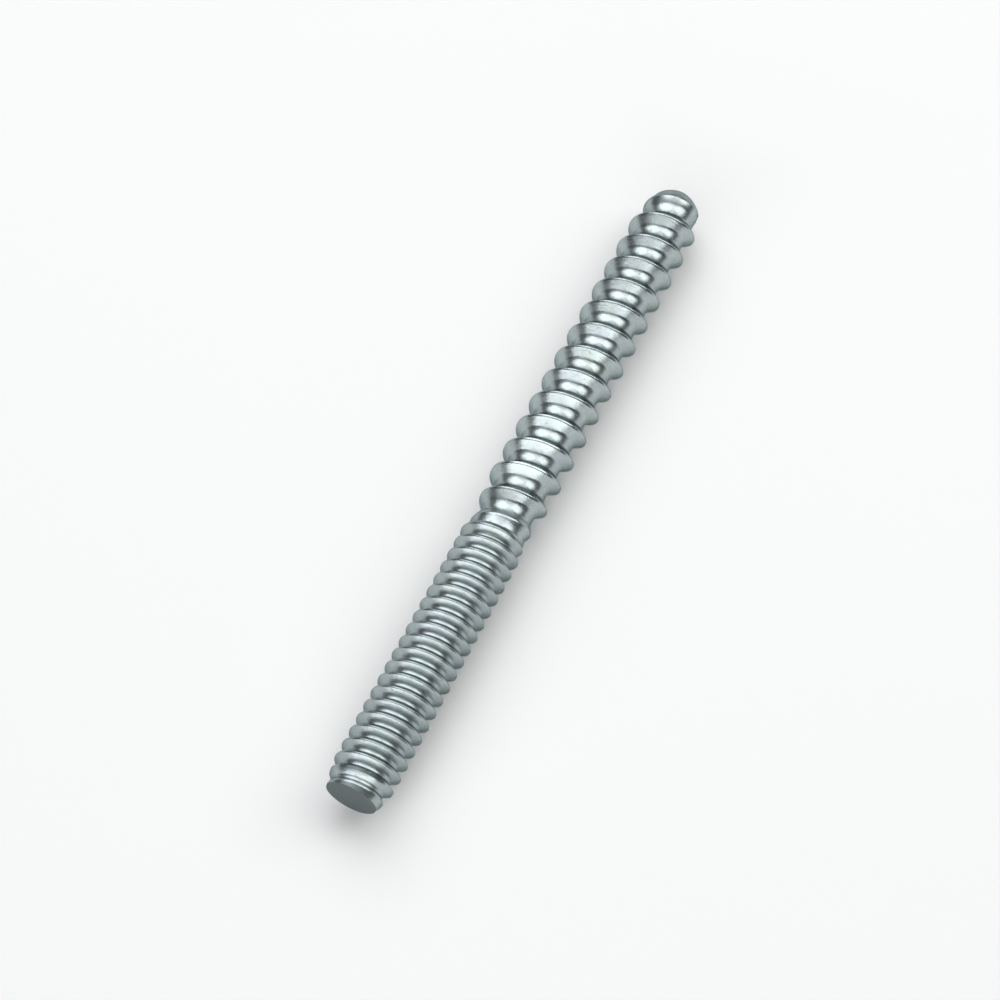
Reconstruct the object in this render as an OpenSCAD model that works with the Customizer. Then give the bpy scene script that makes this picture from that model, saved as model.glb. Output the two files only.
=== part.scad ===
// Hanger bolt: one rolled steel pin with a machine thread at one end and a wood
// screw thread at the other, both right-handed. It lies on its crests along X,
// with the machine end at -X and the point at +X.

/* [Overall] */
// Length from the machine end to the tip of the point
total_length = 53.8; // [50:0.1:75]

/* [Machine thread] */
// Diameter over the crests
machine_crest_d = 4.65; // [4.4:0.05:5.6]
// Diameter at the floor of the groove
machine_root_d = 3.6; // [3:0.05:3.9]
// Advance of the thread in one turn
machine_pitch = 1.058; // [0.7:0.001:1.4]
// Width of the land on the crest
machine_crest_flat = 0.14; // [0.06:0.01:0.25]
// Width of the floor of the groove
machine_root_flat = 0.24; // [0.1:0.01:0.4]
// Length from the machine end to the last trace of the thread
machine_length = 21.75; // [15:0.1:23]
// Turns over which the crest falls to the neck
machine_crest_runout = 0.3; // [0.2:0.05:2]
// Turns over which the groove rises to the neck
machine_groove_runout = 1.2; // [0.4:0.05:2]
// Turn of the thread about the axis, in whole facets
machine_clocking = 330; // [0:15:345]

/* [Machine end] */
// Diameter of the flat end face
end_face_d = 3.75; // [3:0.05:4.4]
// Length over which the crests rise from the end face to full height
end_taper_length = 1.75; // [0.5:0.1:4]

/* [Neck] */
// Diameter of the plain neck between the threads
neck_d = 4.1; // [3.6:0.05:4.4]
// Length of the neck that carries no thread
neck_length = 0.2; // [0.1:0.1:4]

/* [Wood thread] */
// Diameter over the crests next to the neck
wood_crest_d = 5.05; // [4.4:0.05:6]
// Diameter over the crests next to the point
wood_crest_d_at_point = 4.8; // [4.4:0.05:6]
// Diameter at the foot of each flank
wood_root_d = 3.65; // [3:0.05:4.2]
// Depth of the hollow along the middle of the groove
wood_root_hollow = 0.05; // [0:0.01:0.2]
// Advance of the thread in one turn
wood_pitch = 2.117; // [1.6:0.001:2.8]
// Width of the land on the crest
wood_crest_flat = 0.16; // [0.08:0.01:0.4]
// Width of the floor of the groove
wood_root_flat = 0.88; // [0.5:0.01:1.1]
// Turns over which the crest rises out of the neck
wood_crest_runin = 1.9; // [0.5:0.1:3]
// Turns from the first rise of the crest to the start of the groove
wood_groove_lag = 0.05; // [0:0.05:1]
// Turns over which the groove sinks to its full depth
wood_groove_runin = 0.4; // [0.2:0.05:2]
// Turns over which the thread dies out along the point
wood_runout = 1.1; // [0.5:0.1:3]
// Turn of the thread about the axis, in whole facets
wood_clocking = 120; // [0:15:345]

/* [Point] */
// Length of the point past the last trace of the thread
point_bare_length = 1; // [0.4:0.1:2]
// Length over which the core rounds over to the blunt end
point_length = 1.6; // [1.2:0.1:5]
// Diameter of the blunt end, before it is rounded off
point_d = 0.6; // [0.4:0.1:2.4]
// Length of the rounding on the blunt end
point_round = 0.1; // [0.1:0.05:0.7]

/* [Hidden] */
steps = 24;                                  // facets in one turn of the threads, neck and point
step_angle = 360 / steps;
wood_start = machine_length + neck_length;
blunt_end = total_length - point_round;      // where the rounding of the blunt end starts
wood_thread_end = total_length - point_bare_length;
spare_length = 2 * machine_pitch;            // thread made past the end face, then cut off square

// Each profile is one pitch of thread, as [distance along the axis, height, sink]:
// height is 0 on the floor of the groove and 1 on the crest, and sink lowers the floor.
machine_flank = (machine_pitch - machine_root_flat - machine_crest_flat) / 2;
machine_profile = [
    [0, 0, 0],
    [machine_flank, 1, 0],
    [machine_flank + machine_crest_flat, 1, 0],
    [2 * machine_flank + machine_crest_flat, 0, 0],
];
wood_flank = (wood_pitch - wood_root_flat - wood_crest_flat) / 2;
wood_ridge = 2 * wood_flank + wood_crest_flat;   // width of the ridge at its foot
wood_profile = [
    [0, 0, 0],
    [wood_flank, 1, 0],
    [wood_flank + wood_crest_flat, 1, 0],
    [wood_ridge, 0, 0],
    [wood_ridge + wood_root_flat / 2, 0, wood_root_hollow],
];

function mix(a, b, share) = a + (b - a) * share;
function share_between(x, a, b) = min(1, max(0, (x - a) / (b - a)));
function smooth(share) = share * share * (3 - 2 * share);

// Radius of the machine thread at x from the end face, where the profile has this height
function machine_radius(x, height, sink) =
    let (
        left = (machine_length - x) / machine_pitch,
        crest_d = mix(neck_d, machine_crest_d, smooth(share_between(left, 0, machine_crest_runout))),
        root_d = mix(neck_d, machine_root_d, smooth(share_between(left, 0, machine_groove_runout))),
        end_taper = mix(end_face_d, machine_crest_d, x / end_taper_length) / 2
    )
    min(mix(root_d, crest_d, height) / 2 - sink, end_taper);

// Radius of the core under the wood thread, which rounds over along the point
function wood_core(x) =
    let (along = share_between(x, total_length - point_length, blunt_end))
    mix(wood_root_d, point_d, along * along) / 2;

// Radius of the wood thread at x, where the profile has this height. The crest rises
// steadily out of the neck, while the groove beside it is soon at its full depth.
function wood_radius(x, height, sink) =
    let (
        turns = (x - wood_start) / wood_pitch,
        risen = share_between(turns, 0, wood_crest_runin),
        sunk = smooth(share_between(turns, wood_groove_lag, wood_groove_lag + wood_groove_runin)),
        left = 1 - share_between(x, wood_thread_end - wood_runout * wood_pitch, wood_thread_end),
        crest_d = mix(wood_crest_d, wood_crest_d_at_point, share_between(x, wood_start, blunt_end)),
        floor_r = mix(neck_d / 2, wood_core(x) - sink * left, sunk),
        crest_r = mix(neck_d / 2, wood_core(x) + (crest_d - wood_root_d) / 2 * left, risen)
    )
    mix(floor_r, crest_r, height);

// A point of the surface: facets are turned half a step, so that one lies flat underneath
function surface_point(x, r, step) =
    let (angle = (step + 0.5) * step_angle)
    [x, r * cos(angle), r * sin(angle)];

function ring(x, r) = [for (k = [0:steps - 1]) surface_point(x, r, k)];

// Points of a helical band: at each step round the axis, one point for each point of the profile
function band(start, count, first_step, pitch, profile, radius) = [
    for (i = [0:count]) for (p = profile)
        let (x = start + i / steps * pitch + p[0])
        surface_point(x, radius(x, p[1], p[2]), first_step + i)
];

// Steps for which a band fits between two places along the axis
function band_steps(start, end, pitch, profile) =
    floor((end - start - profile[len(profile) - 1][0]) / pitch * steps);

// Faces are triangles of point numbers, clockwise as seen from outside
function quad(a, b, c, d) = [[a, b, c], [a, c, d]];
function flat(lists) = [for (list = lists) each list];

// Faces of a band whose points start at number n, with m points in its profile
function band_faces(n, m, count) = flat([
    for (i = [0:count - 1], j = [0:m - 1])
        let (next = j < m - 1 ? n + i * m + j + 1 : n + (i + steps) * m)
        if (j < m - 1 || i + 1 + steps <= count)
            quad(n + i * m + j, next, next + m, n + (i + 1) * m + j)
]);

// Faces between two rings
function ring_faces(a, b) = flat([
    for (k = [0:steps - 1])
        let (l = (k + 1) % steps)
        quad(a + k, b + k, b + l, a + l)
]);

// Faces from a ring to the first turn of a band, and from the last turn of a band to a ring.
// The band ends in a line across its profile, and a fan of triangles closes that step.
function entry_faces(r, n, m, first_step) =
    let (
        at = function (k) r + (first_step + k) % steps,
        apex = n + (steps - 1) * m
    )
    concat(
        flat([for (k = [0:steps - 2]) quad(at(k), n + k * m, n + (k + 1) * m, at(k + 1))]),
        [[apex, n + steps * m, n + m - 1]],
        [for (j = [m - 1:-1:1]) [apex, n + j, n + j - 1]],
        [[apex, n, at(0)], [apex, at(0), at(steps - 1)]]
    );

function exit_faces(r, n, m, count, first_step) =
    let (
        at = function (k) r + (first_step + count - steps + k) % steps,
        top = function (k) n + (count - steps + k) * m + m - 1,
        edge = n + count * m
    )
    concat(
        [[top(1), top(0), edge]],
        [for (j = [0:m - 2]) [top(1), edge + j, edge + j + 1]],
        [[top(1), edge + m - 1, at(0)], [top(1), at(0), at(1)]],
        flat([for (k = [1:steps - 1]) quad(top(k), at(k), at(k + 1), top(k + 1))])
    );

// The pin, from a spare length of thread below the end face to the rounded tip
machine_start = machine_pitch / 2 - spare_length;
machine_first = round(machine_clocking / step_angle);
machine_count = band_steps(machine_start, machine_length, machine_pitch, machine_profile);
wood_band_start = wood_start + wood_pitch / steps;
wood_first = round(wood_clocking / step_angle);
wood_count = band_steps(wood_band_start, wood_thread_end, wood_pitch, wood_profile);
dome_angles = [0, 25, 45, 65, 90];           // places of the rings between the thread and the blunt end
tip_angles = [35, 65];                       // places of the rings on the rounded tip

pin_parts = [
    ring(-spare_length, machine_root_d / 2),
    band(machine_start, machine_count, machine_first, machine_pitch, machine_profile,
        function (x, height, sink) machine_radius(x, height, sink)),
    ring(machine_length, neck_d / 2),
    ring(wood_start, neck_d / 2),
    band(wood_band_start, wood_count, wood_first, wood_pitch, wood_profile,
        function (x, height, sink) wood_radius(x, height, sink)),
    for (a = dome_angles)
        let (x = mix(wood_thread_end, blunt_end, sin(a)))
        ring(x, wood_core(x)),
    for (a = tip_angles)
        ring(blunt_end + point_round * sin(a) / sin(tip_angles[1]), point_d / 2 * cos(a)),
];
pin_points = flat(pin_parts);

// Number of each part's first point
starts = [for (i = 0, n = 0; i < len(pin_parts); n = n + len(pin_parts[i]), i = i + 1) n];
last_ring = len(pin_parts) - 1;

pin_faces = concat(
    [[for (k = [0:steps - 1]) starts[0] + k]],
    entry_faces(starts[0], starts[1], len(machine_profile), machine_first),
    band_faces(starts[1], len(machine_profile), machine_count),
    exit_faces(starts[2], starts[1], len(machine_profile), machine_count, machine_first),
    ring_faces(starts[2], starts[3]),
    entry_faces(starts[3], starts[4], len(wood_profile), wood_first),
    band_faces(starts[4], len(wood_profile), wood_count),
    exit_faces(starts[5], starts[4], len(wood_profile), wood_count, wood_first),
    flat([for (i = [5:last_ring - 1]) ring_faces(starts[i], starts[i + 1])]),
    [[for (k = [steps - 1:-1:0]) starts[last_ring] + k]]
);

// Height of the axis over the surface that the crests lie on
axis_height = -min([for (p = pin_points) p[2]]);

module spare_thread() {
    side = 2 * machine_crest_d;
    translate([-2 * spare_length, -side / 2, -side / 2])
        cube([2 * spare_length, side, side]);
}

module hanger_bolt() {
    color("lightsteelblue")
        translate([-total_length / 2, 0, axis_height])
            difference() {
                polyhedron(points = pin_points, faces = pin_faces);
                spare_thread();
            }
}

hanger_bolt();
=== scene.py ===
import math

import bpy
import bmesh
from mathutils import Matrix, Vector


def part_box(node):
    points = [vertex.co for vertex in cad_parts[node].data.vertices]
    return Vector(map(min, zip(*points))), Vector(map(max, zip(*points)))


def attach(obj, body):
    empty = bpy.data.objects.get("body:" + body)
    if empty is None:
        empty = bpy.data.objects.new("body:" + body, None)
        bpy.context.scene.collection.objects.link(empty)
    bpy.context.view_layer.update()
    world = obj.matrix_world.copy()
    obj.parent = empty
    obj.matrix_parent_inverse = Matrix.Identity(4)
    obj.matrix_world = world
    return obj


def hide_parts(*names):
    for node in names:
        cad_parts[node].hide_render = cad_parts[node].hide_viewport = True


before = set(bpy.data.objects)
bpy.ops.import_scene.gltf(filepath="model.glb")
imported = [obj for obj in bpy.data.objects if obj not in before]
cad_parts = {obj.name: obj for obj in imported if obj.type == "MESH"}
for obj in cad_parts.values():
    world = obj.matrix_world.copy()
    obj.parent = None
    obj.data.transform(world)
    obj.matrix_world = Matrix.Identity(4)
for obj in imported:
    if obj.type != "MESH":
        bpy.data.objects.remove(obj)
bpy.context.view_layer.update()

low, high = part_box("hanger_bolt")

# Sizes are in millimetres and x is counted from the machine end, as a turner would mark them.
# The finished mesh is in metres, with the bolt lying along X on the floor.
MM = 0.001
BOLT_LENGTH = (high.x - low.x) / MM
AXIS_HEIGHT = 2.481
END_X = low.x / MM              # the machine end, counted from the middle of the length
FLOOR_CLEARANCE = 0.002

STEPS = 120                     # facets in one turn
SPARE_TURNS = 2.5               # made before the first crest, from mid groove, then cut off
NEAR = 0.01                     # how close a cut edge lies to where it is looked for
MERGE_DISTANCE = 1e-4
CUT_TOLERANCE = 1e-5
SMOOTH_ANGLE = math.radians(60)

MACHINE_PITCH = 1.058
MACHINE_CREST_R = 2.325
MACHINE_ROOT_R = 1.8
MACHINE_CREST_FLAT = 0.14
MACHINE_ROOT_FLAT = 0.27
MACHINE_CREST_ROUNDING = 0.065
MACHINE_ROOT_ROUNDING = 0.05
MACHINE_LENGTH = 21.75          # where the last trace of the thread is gone
MACHINE_CREST_RUNOUT = 0.3      # turns
MACHINE_GROOVE_RUNOUT = 1.2     # turns
MACHINE_PHASE = -0.051          # place of a crest on the +Y side, in pitches from the end face

END_FACE_R = 1.875
END_TAPER = 1.75                # length over which the crests rise from the end face

NECK_R = 2.05                   # smaller than any crest and larger than any groove
NECK_CUT = 21.85                # middle of the plain neck
NECK_HALF_GAP = 0.05            # left open to either side of that, then bridged

WOOD_PITCH = 2.117
WOOD_START = 21.95
WOOD_CREST_R = 2.525
WOOD_CREST_R_AT_POINT = 2.4
WOOD_ROOT_R = 1.825
WOOD_ROOT_HOLLOW = 0.05
WOOD_CREST_FLAT = 0.16
WOOD_ROOT_FLAT = 0.88
WOOD_CREST_ROUNDING = 0.075
WOOD_ROOT_ROUNDING = 0.14
WOOD_CREST_RUNIN = 1.9          # turns
WOOD_GROOVE_LAG = 0.05          # turns
WOOD_GROOVE_RUNIN = 0.4         # turns
WOOD_RUNOUT = 1.1               # turns
WOOD_PHASE = -0.0204            # place of a crest on the +Y side, in pitches from WOOD_START

POINT_BARE_LENGTH = 1.0
WOOD_END = BOLT_LENGTH - POINT_BARE_LENGTH    # where the last trace of the thread is gone
POINT_LENGTH = 1.6
POINT_R = 0.3
POINT_ROUND = 0.1
BLUNT_END = BOLT_LENGTH - POINT_ROUND
# rings of the dome, as shares of the way from the end of the thread to the blunt end
DOME_RINGS = (0, 0.14, 0.28, 0.41, 0.53, 0.64, 0.74, 0.83, 0.92, 1)
# rings that round off the blunt end: share of its rounding, and share of its radius
TIP_RINGS = ((0.36, 0.8), (0.64, 0.6), (0.84, 0.4), (0.96, 0.2))


def mix(a, b, share):
    return a + (b - a) * share


def share_between(x, a, b):
    return min(1.0, max(0.0, (x - a) / (b - a)))


def smooth(share):
    return share * share * (3 - 2 * share)


# ---------------------------------------------------------------- thread shapes

# A height is 0 at the foot of a flank and 1 on the crest.

def machine_radius(x, height):
    left = (MACHINE_LENGTH - x) / MACHINE_PITCH
    crest = mix(NECK_R, MACHINE_CREST_R, smooth(share_between(left, 0, MACHINE_CREST_RUNOUT)))
    root = mix(NECK_R, MACHINE_ROOT_R, smooth(share_between(left, 0, MACHINE_GROOVE_RUNOUT)))
    end_taper = mix(END_FACE_R, MACHINE_CREST_R, x / END_TAPER)
    return min(mix(root, crest, height), end_taper)


def wood_core(x):
    along_point = share_between(x, BOLT_LENGTH - POINT_LENGTH, BLUNT_END)
    return mix(WOOD_ROOT_R, POINT_R, along_point ** 2)


def wood_radius(x, height):
    turns = (x - WOOD_START) / WOOD_PITCH
    risen = share_between(turns, 0, WOOD_CREST_RUNIN)
    sunk = smooth(share_between(turns, WOOD_GROOVE_LAG, WOOD_GROOVE_LAG + WOOD_GROOVE_RUNIN))
    left = 1 - share_between(x, WOOD_END - WOOD_RUNOUT * WOOD_PITCH, WOOD_END)
    crest = mix(WOOD_CREST_R, WOOD_CREST_R_AT_POINT, share_between(x, WOOD_START, BLUNT_END))
    full_height = WOOD_CREST_R - WOOD_ROOT_R
    # in the hollow of the groove the height is below 0
    floor_r = mix(NECK_R, wood_core(x) + min(height, 0) * full_height * left, sunk)
    crest_r = mix(NECK_R, wood_core(x) + (crest - WOOD_ROOT_R) * left, risen)
    # the axis is as high as the flat facets under the solid put it, so the round crests that
    # would pass below the floor are held just over it
    return min(mix(floor_r, crest_r, max(height, 0)), AXIS_HEIGHT - FLOOR_CLEARANCE)


# ---------------------------------------------------------------- modelling tools

def deselect_all():
    """Leaves edit mode, and leaves nothing selected."""
    if bpy.context.object and bpy.context.object.mode != "OBJECT":
        bpy.ops.object.mode_set(mode="OBJECT")
    bpy.ops.object.select_all(action="DESELECT")


def make_active(obj):
    deselect_all()
    obj.select_set(True)
    bpy.context.view_layer.objects.active = obj


def edit(obj, kind):
    """Goes into edit mode on a piece, to work on its vertices or its edges."""
    make_active(obj)
    bpy.ops.object.mode_set(mode="EDIT")
    bpy.ops.mesh.select_mode(type=kind)


def select(obj, test, kind="verts"):
    """Selects the vertices or edges that pass a test, in edit mode."""
    bpy.ops.mesh.select_all(action="DESELECT")
    mesh = bmesh.from_edit_mesh(obj.data)
    for item in getattr(mesh, kind):
        if test(item):
            item.select_set(True)
    mesh.select_flush_mode()
    bmesh.update_edit_mesh(obj.data)


def thread_corners(start, pitch, root_r, crest_r, root_flat, crest_flat, hollow=0.0):
    """Corners of one pitch of thread, from the middle of one groove to the middle of the next."""
    flank = (pitch - root_flat - crest_flat) / 2
    foot = start + root_flat / 2
    return [
        (start, root_r - hollow),
        (foot, root_r),
        (foot + flank, crest_r),
        (foot + flank + crest_flat, crest_r),
        (foot + 2 * flank + crest_flat, root_r),
        (start + pitch, root_r - hollow),
    ]


def profile_line(name, corners):
    """A line of vertices in the XY plane, drawn out from corner to corner."""
    deselect_all()
    bpy.ops.mesh.primitive_plane_add(size=1, location=(0, 0, 0))
    line = bpy.context.object
    line.name = name
    edit(line, "VERT")
    bpy.ops.mesh.select_all(action="SELECT")
    bpy.ops.mesh.merge(type="CENTER")
    bpy.ops.transform.translate(value=(corners[0][0], corners[0][1], 0))
    for (x0, r0), (x1, r1) in zip(corners, corners[1:]):
        bpy.ops.mesh.extrude_region_move(
            TRANSFORM_OT_translate={"value": (x1 - x0, r1 - r0, 0)})
    return line


def round_corners(line, on_crest, rounding, segments):
    """Rounds the corners on the crest of a profile line, or those in its groove, but no end."""
    select(line, lambda v: len(v.link_edges) == 2 and (v.co.y > NECK_R) == on_crest)
    bpy.ops.mesh.bevel(
        offset=rounding, offset_type="OFFSET", segments=segments, affect="VERTICES")


def helix(line, pitch, turns):
    """Sweeps a profile line of one pitch round the X axis and joins its turns."""
    make_active(line)
    screw = line.modifiers.new("screw", "SCREW")
    screw.axis = "X"
    screw.angle = 2 * math.pi
    screw.screw_offset = pitch
    screw.iterations = turns
    screw.steps = screw.render_steps = STEPS
    screw.use_smooth_shade = True
    bpy.ops.object.modifier_apply(modifier="screw")
    edit(line, "VERT")
    bpy.ops.mesh.select_all(action="SELECT")
    bpy.ops.mesh.remove_doubles(threshold=MERGE_DISTANCE)


def reshape(obj, root_r, crest_r, radius_at):
    """Gives each point of a plain helix the radius that its place and its height call for."""
    mesh = bmesh.from_edit_mesh(obj.data)
    for v in mesh.verts:
        r = math.hypot(v.co.y, v.co.z)
        new = radius_at(v.co.x, (r - root_r) / (crest_r - root_r))
        v.co.y *= new / r
        v.co.z *= new / r
    bmesh.update_edit_mesh(obj.data)


def cut_off(x, above):
    """Cuts the piece in edit mode square at x, and takes away its part above or below x."""
    bpy.ops.mesh.select_all(action="SELECT")
    bpy.ops.mesh.bisect(
        plane_co=(x, 0, 0), plane_no=(1, 0, 0),
        clear_outer=above, clear_inner=not above, threshold=CUT_TOLERANCE)


# ---------------------------------------------------------------- machine thread

start = (MACHINE_PHASE - SPARE_TURNS) * MACHINE_PITCH
stud = profile_line("machine_thread", thread_corners(
    start, MACHINE_PITCH, MACHINE_ROOT_R, MACHINE_CREST_R,
    MACHINE_ROOT_FLAT, MACHINE_CREST_FLAT))
round_corners(stud, on_crest=False, rounding=MACHINE_ROOT_ROUNDING, segments=2)
round_corners(stud, on_crest=True, rounding=MACHINE_CREST_ROUNDING, segments=3)
helix(stud, MACHINE_PITCH, math.ceil((MACHINE_LENGTH - start) / MACHINE_PITCH) + 1)
reshape(stud, MACHINE_ROOT_R, MACHINE_CREST_R, machine_radius)
cut_off(NECK_CUT - NECK_HALF_GAP, above=True)
cut_off(0, above=False)

# ---------------------------------------------------------------- wood thread

start = WOOD_START + (WOOD_PHASE - SPARE_TURNS) * WOOD_PITCH
screw_end = profile_line("wood_thread", thread_corners(
    start, WOOD_PITCH, WOOD_ROOT_R, WOOD_CREST_R,
    WOOD_ROOT_FLAT, WOOD_CREST_FLAT, WOOD_ROOT_HOLLOW))
round_corners(screw_end, on_crest=False, rounding=WOOD_ROOT_ROUNDING, segments=3)
round_corners(screw_end, on_crest=True, rounding=WOOD_CREST_ROUNDING, segments=3)
helix(screw_end, WOOD_PITCH, math.ceil((BLUNT_END - start) / WOOD_PITCH) + 1)
reshape(screw_end, WOOD_ROOT_R, WOOD_CREST_R, wood_radius)
cut_off(NECK_CUT + NECK_HALF_GAP, above=False)
cut_off(WOOD_END, above=True)

# the domed point, ring by ring, with a small face at its tip
select(screw_end, lambda e: e.is_boundary and e.verts[0].co.x > WOOD_END - NEAR, "edges")
dome = [mix(WOOD_END, BLUNT_END, share) for share in DOME_RINGS]
rings = [(x, wood_core(x)) for x in dome]
rings += [(BLUNT_END + POINT_ROUND * along, POINT_R * shrunk) for along, shrunk in TIP_RINGS]
for (x0, r0), (x1, r1) in zip(rings, rings[1:]):
    bpy.ops.mesh.extrude_edges_move(TRANSFORM_OT_translate={"value": (x1 - x0, 0, 0)})
    bpy.ops.transform.resize(value=(1, r1 / r0, r1 / r0), center_override=(0, 0, 0))
bpy.ops.mesh.edge_face_add()

# ---------------------------------------------------------------- one piece

deselect_all()
screw_end.select_set(True)
stud.select_set(True)
bpy.context.view_layer.objects.active = stud
bpy.ops.object.join()
bolt = stud
bolt.name = "rolled_bolt"
bolt.data.name = "rolled_bolt"

# the gap at the neck is bridged, and the machine end gets its flat face
edit(bolt, "EDGE")
gap = NECK_HALF_GAP + NEAR
select(bolt, lambda e: e.is_boundary and abs(e.verts[0].co.x - NECK_CUT) < gap, "edges")
bpy.ops.mesh.bridge_edge_loops()
select(bolt, lambda e: e.is_boundary and e.verts[0].co.x < NEAR, "edges")
bpy.ops.mesh.edge_face_add()
bpy.ops.mesh.select_all(action="SELECT")
bpy.ops.mesh.normals_make_consistent(inside=False)

# to its place, in metres
bpy.ops.transform.translate(value=(END_X, 0, AXIS_HEIGHT))
bpy.ops.transform.resize(value=(MM, MM, MM), center_override=(0, 0, 0))
make_active(bolt)
bpy.ops.object.shade_smooth_by_angle(angle=SMOOTH_ANGLE)

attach(bolt, "root")
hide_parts("hanger_bolt")

# ---------------------------------------------------------------- materials


class Socket:
    """A node's output, so that shader maths can be written as plain expressions."""

    def __init__(self, material, output):
        self.material = material
        self.output = output

    def __add__(self, other):
        return self.material.maths("ADD", self, other)

    def __radd__(self, other):
        return self.material.maths("ADD", other, self)

    def __sub__(self, other):
        return self.material.maths("SUBTRACT", self, other)

    def __rsub__(self, other):
        return self.material.maths("SUBTRACT", other, self)

    def __mul__(self, other):
        return self.material.maths("MULTIPLY", self, other)

    def __rmul__(self, other):
        return self.material.maths("MULTIPLY", other, self)

    def __truediv__(self, other):
        return self.material.maths("DIVIDE", self, other)

    def __rtruediv__(self, other):
        return self.material.maths("DIVIDE", other, self)


class Material:
    """The node tree of a material or of the world, with one way to add a node."""

    def __init__(self, block):
        self.block = block
        self.block.use_nodes = True
        self.tree = self.block.node_tree
        self.tree.nodes.clear()

    def new(self, kind, settings, values=(), output=0):
        """Adds a node, sets it, and gives its sockets their values or links."""
        node = self.tree.nodes.new(kind)
        for key, value in settings.items():
            setattr(node, key, value)
        pairs = values.items() if isinstance(values, dict) else enumerate(values)
        for key, value in pairs:
            if isinstance(value, Socket):
                self.tree.links.new(value.output, node.inputs[key])
            else:
                node.inputs[key].default_value = value
        return Socket(self, node.outputs[output]) if node.outputs else None

    def maths(self, operation, *values):
        return self.new("ShaderNodeMath", {"operation": operation}, values)

    def smooth_step(self, value, span, before=0.0, after=1.0):
        """Goes smoothly from one result to the other while the value crosses a span."""
        return self.new("ShaderNodeMapRange", {"interpolation_type": "SMOOTHSTEP"},
                        (value, *span, before, after))

    def noise(self, vector, scale, detail, roughness):
        return self.new("ShaderNodeTexNoise", {}, {
            "Vector": vector, "Scale": scale, "Detail": detail, "Roughness": roughness})

    def blend(self, share, a, b):
        """A colour between a and b, whose sockets on a Mix node are 6 and 7."""
        return self.new("ShaderNodeMix", {"data_type": "RGBA"}, {0: share, 6: a, 7: b}, 2)


def rgb(r, g, b):
    return (r, g, b, 1)


ZINC_BLUE = rgb(0.41, 0.46, 0.48)
ZINC_MINT = rgb(0.41, 0.47, 0.46)
# the dark tone of the pits, which also serves as painted shade over the whole stud
ZINC_PIT_AND_PAINTED_SHADE = rgb(0.20, 0.24, 0.25)
ZINC_PALE = rgb(0.58, 0.65, 0.665)
ZINC_EDGE = rgb(0.35, 0.40, 0.41)      # what the plating keeps of its shine at a glancing angle
SHEARED = rgb(0.16, 0.18, 0.18)

# where each part of the finish fades into the next: along the bolt, then outwards from its axis
STUD_FADE = (END_X + 21.5, END_X + 22.2)
END_FACE_FADE = (END_X + 0.015, END_X + 0.05)
STUD_GROOVE_FADE = (1.85, 2.2)
WOOD_CREST_FADE = (2.15, 2.4)

# values of a noise between which a mark sets in
BLUE_PATCH = (0.35, 0.65)
PALE_CLOUD = (0.45, 0.7)
PIT = (0.62, 0.78)
NOISE_MIDDLE = 0.5

# the streaks' scale along the bolt, round it and outwards
STREAK_SCALE = (9.0, 0.7, 7.0)

# how much of its colour each mark brings in
CLOUD_TINT = 0.3
PIT_TINT = 0.3
# the stud's share is painted shade: it darkens the whole stud's colour
STUD_PAINTED_SHADE = 0.12
END_FACE_TINT = 0.85

# roughness of the plain plating, and how far each mark moves it
PLAIN_DULLNESS = 0.29
CLOUD_DULLNESS = 0.12
STREAK_DULLNESS = 0.10
STUD_GROOVE_DULLNESS = 0.04
PIT_DULLNESS = 0.14
WOOD_CREST_POLISH = 0.04
END_FACE_DULLNESS = 0.24

# how much each mark stands out of the surface
CLOUD_RELIEF = 0.55
STREAK_RELIEF = 0.35
GRAIN_RELIEF = 0.08
PIT_RELIEF = 0.35
RELIEF_STRENGTH = 0.6
RELIEF_DEPTH = 0.00003          # metres

# Zinc plating over rolled steel. Distances in the shader are in millimetres, from the middle of
# the bolt's length and from its axis.
zinc = Material(bpy.data.materials.new("zinc_plating"))
place = zinc.new("ShaderNodeTexCoord", {}, output="Object")
along, across, over_floor = (
    zinc.new("ShaderNodeSeparateXYZ", {}, (place,), axis) / MM for axis in "XYZ")
height = over_floor - AXIS_HEIGHT
radius = zinc.maths("POWER", across * across + height * height, 0.5)
turn = zinc.maths("ARCTAN2", height, across)

# the stud's colour is made a little darker than the wood thread's, which is painted shade for its
# darker sides, and its grooves are rougher, the crests of the wood thread are a little smoother,
# and the end face is plain sheared metal
on_stud = zinc.smooth_step(along, STUD_FADE, before=1.0, after=0.0)
stud_groove = zinc.smooth_step(radius, STUD_GROOVE_FADE, before=1.0, after=0.0) * on_stud
wood_crest = zinc.smooth_step(radius, WOOD_CREST_FADE) * (1 - on_stud)
end_face = zinc.smooth_step(along, END_FACE_FADE, before=1.0, after=0.0)

# patches and clouds of the plating, fine grain, streaks that the rolling dies leave, and pits
spot = zinc.new("ShaderNodeCombineXYZ", {}, (along, across, height))
patches = zinc.noise(spot, scale=0.55, detail=3.0, roughness=0.55)
clouds = zinc.noise(spot, scale=1.9, detail=3.0, roughness=0.6)
grain = zinc.noise(spot, scale=9.0, detail=2.0, roughness=0.6)
rolled = zinc.new("ShaderNodeCombineXYZ", {}, (
    along * STREAK_SCALE[0], turn * STREAK_SCALE[1], radius * STREAK_SCALE[2]))
streaks = zinc.noise(rolled, scale=1.0, detail=3.0, roughness=0.6)
pits = zinc.smooth_step(zinc.noise(spot, scale=3.6, detail=2.0, roughness=0.5), PIT)

tone = zinc.blend(zinc.smooth_step(patches, BLUE_PATCH), ZINC_MINT, ZINC_BLUE)
tone = zinc.blend(zinc.smooth_step(clouds, PALE_CLOUD) * CLOUD_TINT, tone, ZINC_PALE)
# the pits are real marks, and the stud's share is painted shade that darkens the whole stud
# towards the same tone
tone = zinc.blend(pits * PIT_TINT + on_stud * STUD_PAINTED_SHADE, tone, ZINC_PIT_AND_PAINTED_SHADE)
tone = zinc.blend(end_face * END_FACE_TINT, tone, SHEARED)

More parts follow.
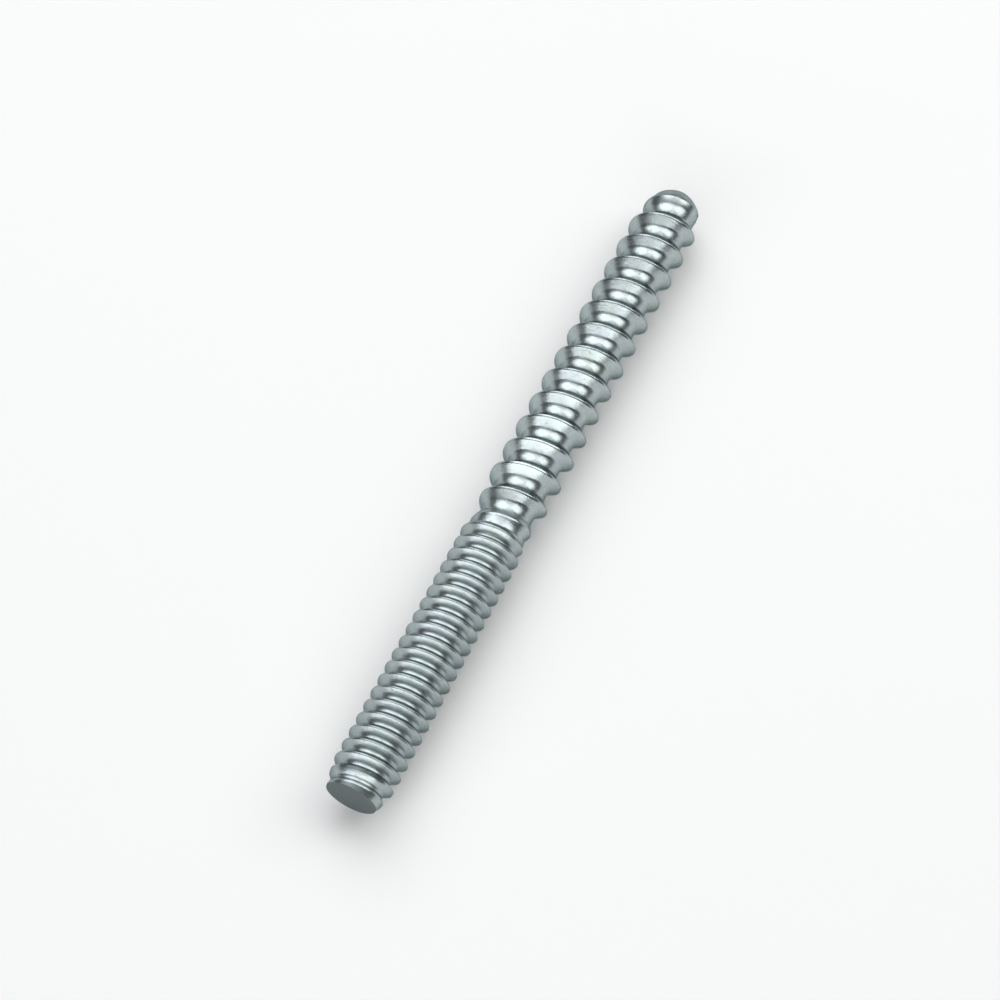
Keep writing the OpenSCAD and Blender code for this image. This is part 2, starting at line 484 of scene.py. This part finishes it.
dullness = (
    PLAIN_DULLNESS
    + CLOUD_DULLNESS * (clouds - NOISE_MIDDLE)
    + STREAK_DULLNESS * (streaks - NOISE_MIDDLE)
    + STUD_GROOVE_DULLNESS * stud_groove
    + PIT_DULLNESS * pits
    - WOOD_CREST_POLISH * wood_crest
    + END_FACE_DULLNESS * end_face)

relief = (
    clouds * CLOUD_RELIEF + streaks * STREAK_RELIEF + grain * GRAIN_RELIEF - pits * PIT_RELIEF)
bumps = zinc.new("ShaderNodeBump", {}, {
    "Strength": RELIEF_STRENGTH, "Distance": RELIEF_DEPTH, "Height": relief})

surface = zinc.new("ShaderNodeBsdfPrincipled", {}, {
    "Base Color": tone, "Metallic": 1.0, "Roughness": dullness, "Specular Tint": ZINC_EDGE,
    "Normal": bumps})
zinc.new("ShaderNodeOutputMaterial", {}, {"Surface": surface})
bolt.data.materials.append(zinc.block)

# ---------------------------------------------------------------- floor, light and camera

# sizes and places are in metres from here on, and angles in degrees
FLOOR_SIZE = 4
FLOOR_HEIGHT = -0.0001          # the facets under the solid don't lie in the floor's plane
FLOOR_WHITE = rgb(0.89, 0.89, 0.89)

LAMP_DISTANCE = 0.5
FAINT_BLUE = (0.98, 0.99, 1.0)
FAINT_GREEN = (0.99, 1.0, 0.98)
ROOM_WHITE = rgb(0.95, 0.98, 1.0)
ROOM_BRIGHTNESS = 0.10

CAMERA_PLACE = Vector((-0.091168, -0.041841, 0.179498))
CAMERA_HEADING = 25.72
CAMERA_ELEVATION = -60.88       # it looks down
CAMERA_LENS_MM = 104.58
CAMERA_SENSOR_MM = 36
CAMERA_CLIP_START = 0.01

deselect_all()
bpy.ops.mesh.primitive_plane_add(size=FLOOR_SIZE, location=(0, 0, FLOOR_HEIGHT))
floor = bpy.context.object
floor.name = "floor"
paper = Material(bpy.data.materials.new("floor_paper"))
paper_surface = paper.new("ShaderNodeBsdfPrincipled", {}, {
    "Base Color": FLOOR_WHITE, "Roughness": 0.9, "Specular IOR Level": 0.2})
paper.new("ShaderNodeOutputMaterial", {}, {"Surface": paper_surface})
floor.data.materials.append(paper.block)


def direction(heading, elevation):
    """A unit vector that points to a heading, from +X towards +Y, and to an elevation."""
    heading, elevation = math.radians(heading), math.radians(elevation)
    return Vector((
        math.cos(elevation) * math.cos(heading),
        math.cos(elevation) * math.sin(heading),
        math.sin(elevation)))


def set_up(name, data, location, facing):
    """Puts a lamp or a camera in its place, facing a direction."""
    obj = bpy.data.objects.new(name, data)
    bpy.context.scene.collection.objects.link(obj)
    obj.location = location
    obj.rotation_euler = facing.to_track_quat("-Z", "Y").to_euler()
    return obj


def soft_box(name, heading, elevation, width, height, brightness, colour=(1, 1, 1)):
    """A flat lamp that faces the bolt. Its brightness is that of its face, whatever its size."""
    data = bpy.data.lights.new(name, "AREA")
    data.shape = "RECTANGLE"
    data.size, data.size_y = width, height
    data.energy = brightness * math.pi * width * height
    data.color = colour
    towards = direction(heading, elevation)
    set_up(name, data, towards * LAMP_DISTANCE, -towards)


soft_box("left_lamp", heading=42, elevation=48, width=0.38, height=0.40, brightness=2.4,
         colour=FAINT_BLUE)
soft_box("middle_lamp", heading=-4, elevation=50, width=0.17, height=0.46, brightness=1.2)
soft_box("right_lamp", heading=-49, elevation=46, width=0.32, height=0.38, brightness=2.4,
         colour=FAINT_GREEN)
soft_box("top_lamp", heading=0, elevation=80, width=0.30, height=0.20, brightness=1.1)
soft_box("side_lamp", heading=105, elevation=58, width=0.40, height=0.40, brightness=0.4)
soft_box("end_lamp", heading=181, elevation=16, width=0.80, height=0.29, brightness=2.5)
soft_box("camera_lamp", heading=183, elevation=50, width=0.50, height=0.30, brightness=0.9)

sky = bpy.data.worlds.new("studio")
bpy.context.scene.world = sky
room = Material(sky)
room_light = room.new("ShaderNodeBackground", {}, {
    "Color": ROOM_WHITE, "Strength": ROOM_BRIGHTNESS})
room.new("ShaderNodeOutputWorld", {}, {"Surface": room_light})

camera_data = bpy.data.cameras.new("camera")
camera_data.sensor_width = CAMERA_SENSOR_MM
camera_data.lens = CAMERA_LENS_MM
camera_data.clip_start = CAMERA_CLIP_START
camera = set_up(
    "camera", camera_data, CAMERA_PLACE, direction(CAMERA_HEADING, CAMERA_ELEVATION))
bpy.context.scene.camera = camera
bpy.context.scene.view_settings.view_transform = "Standard"
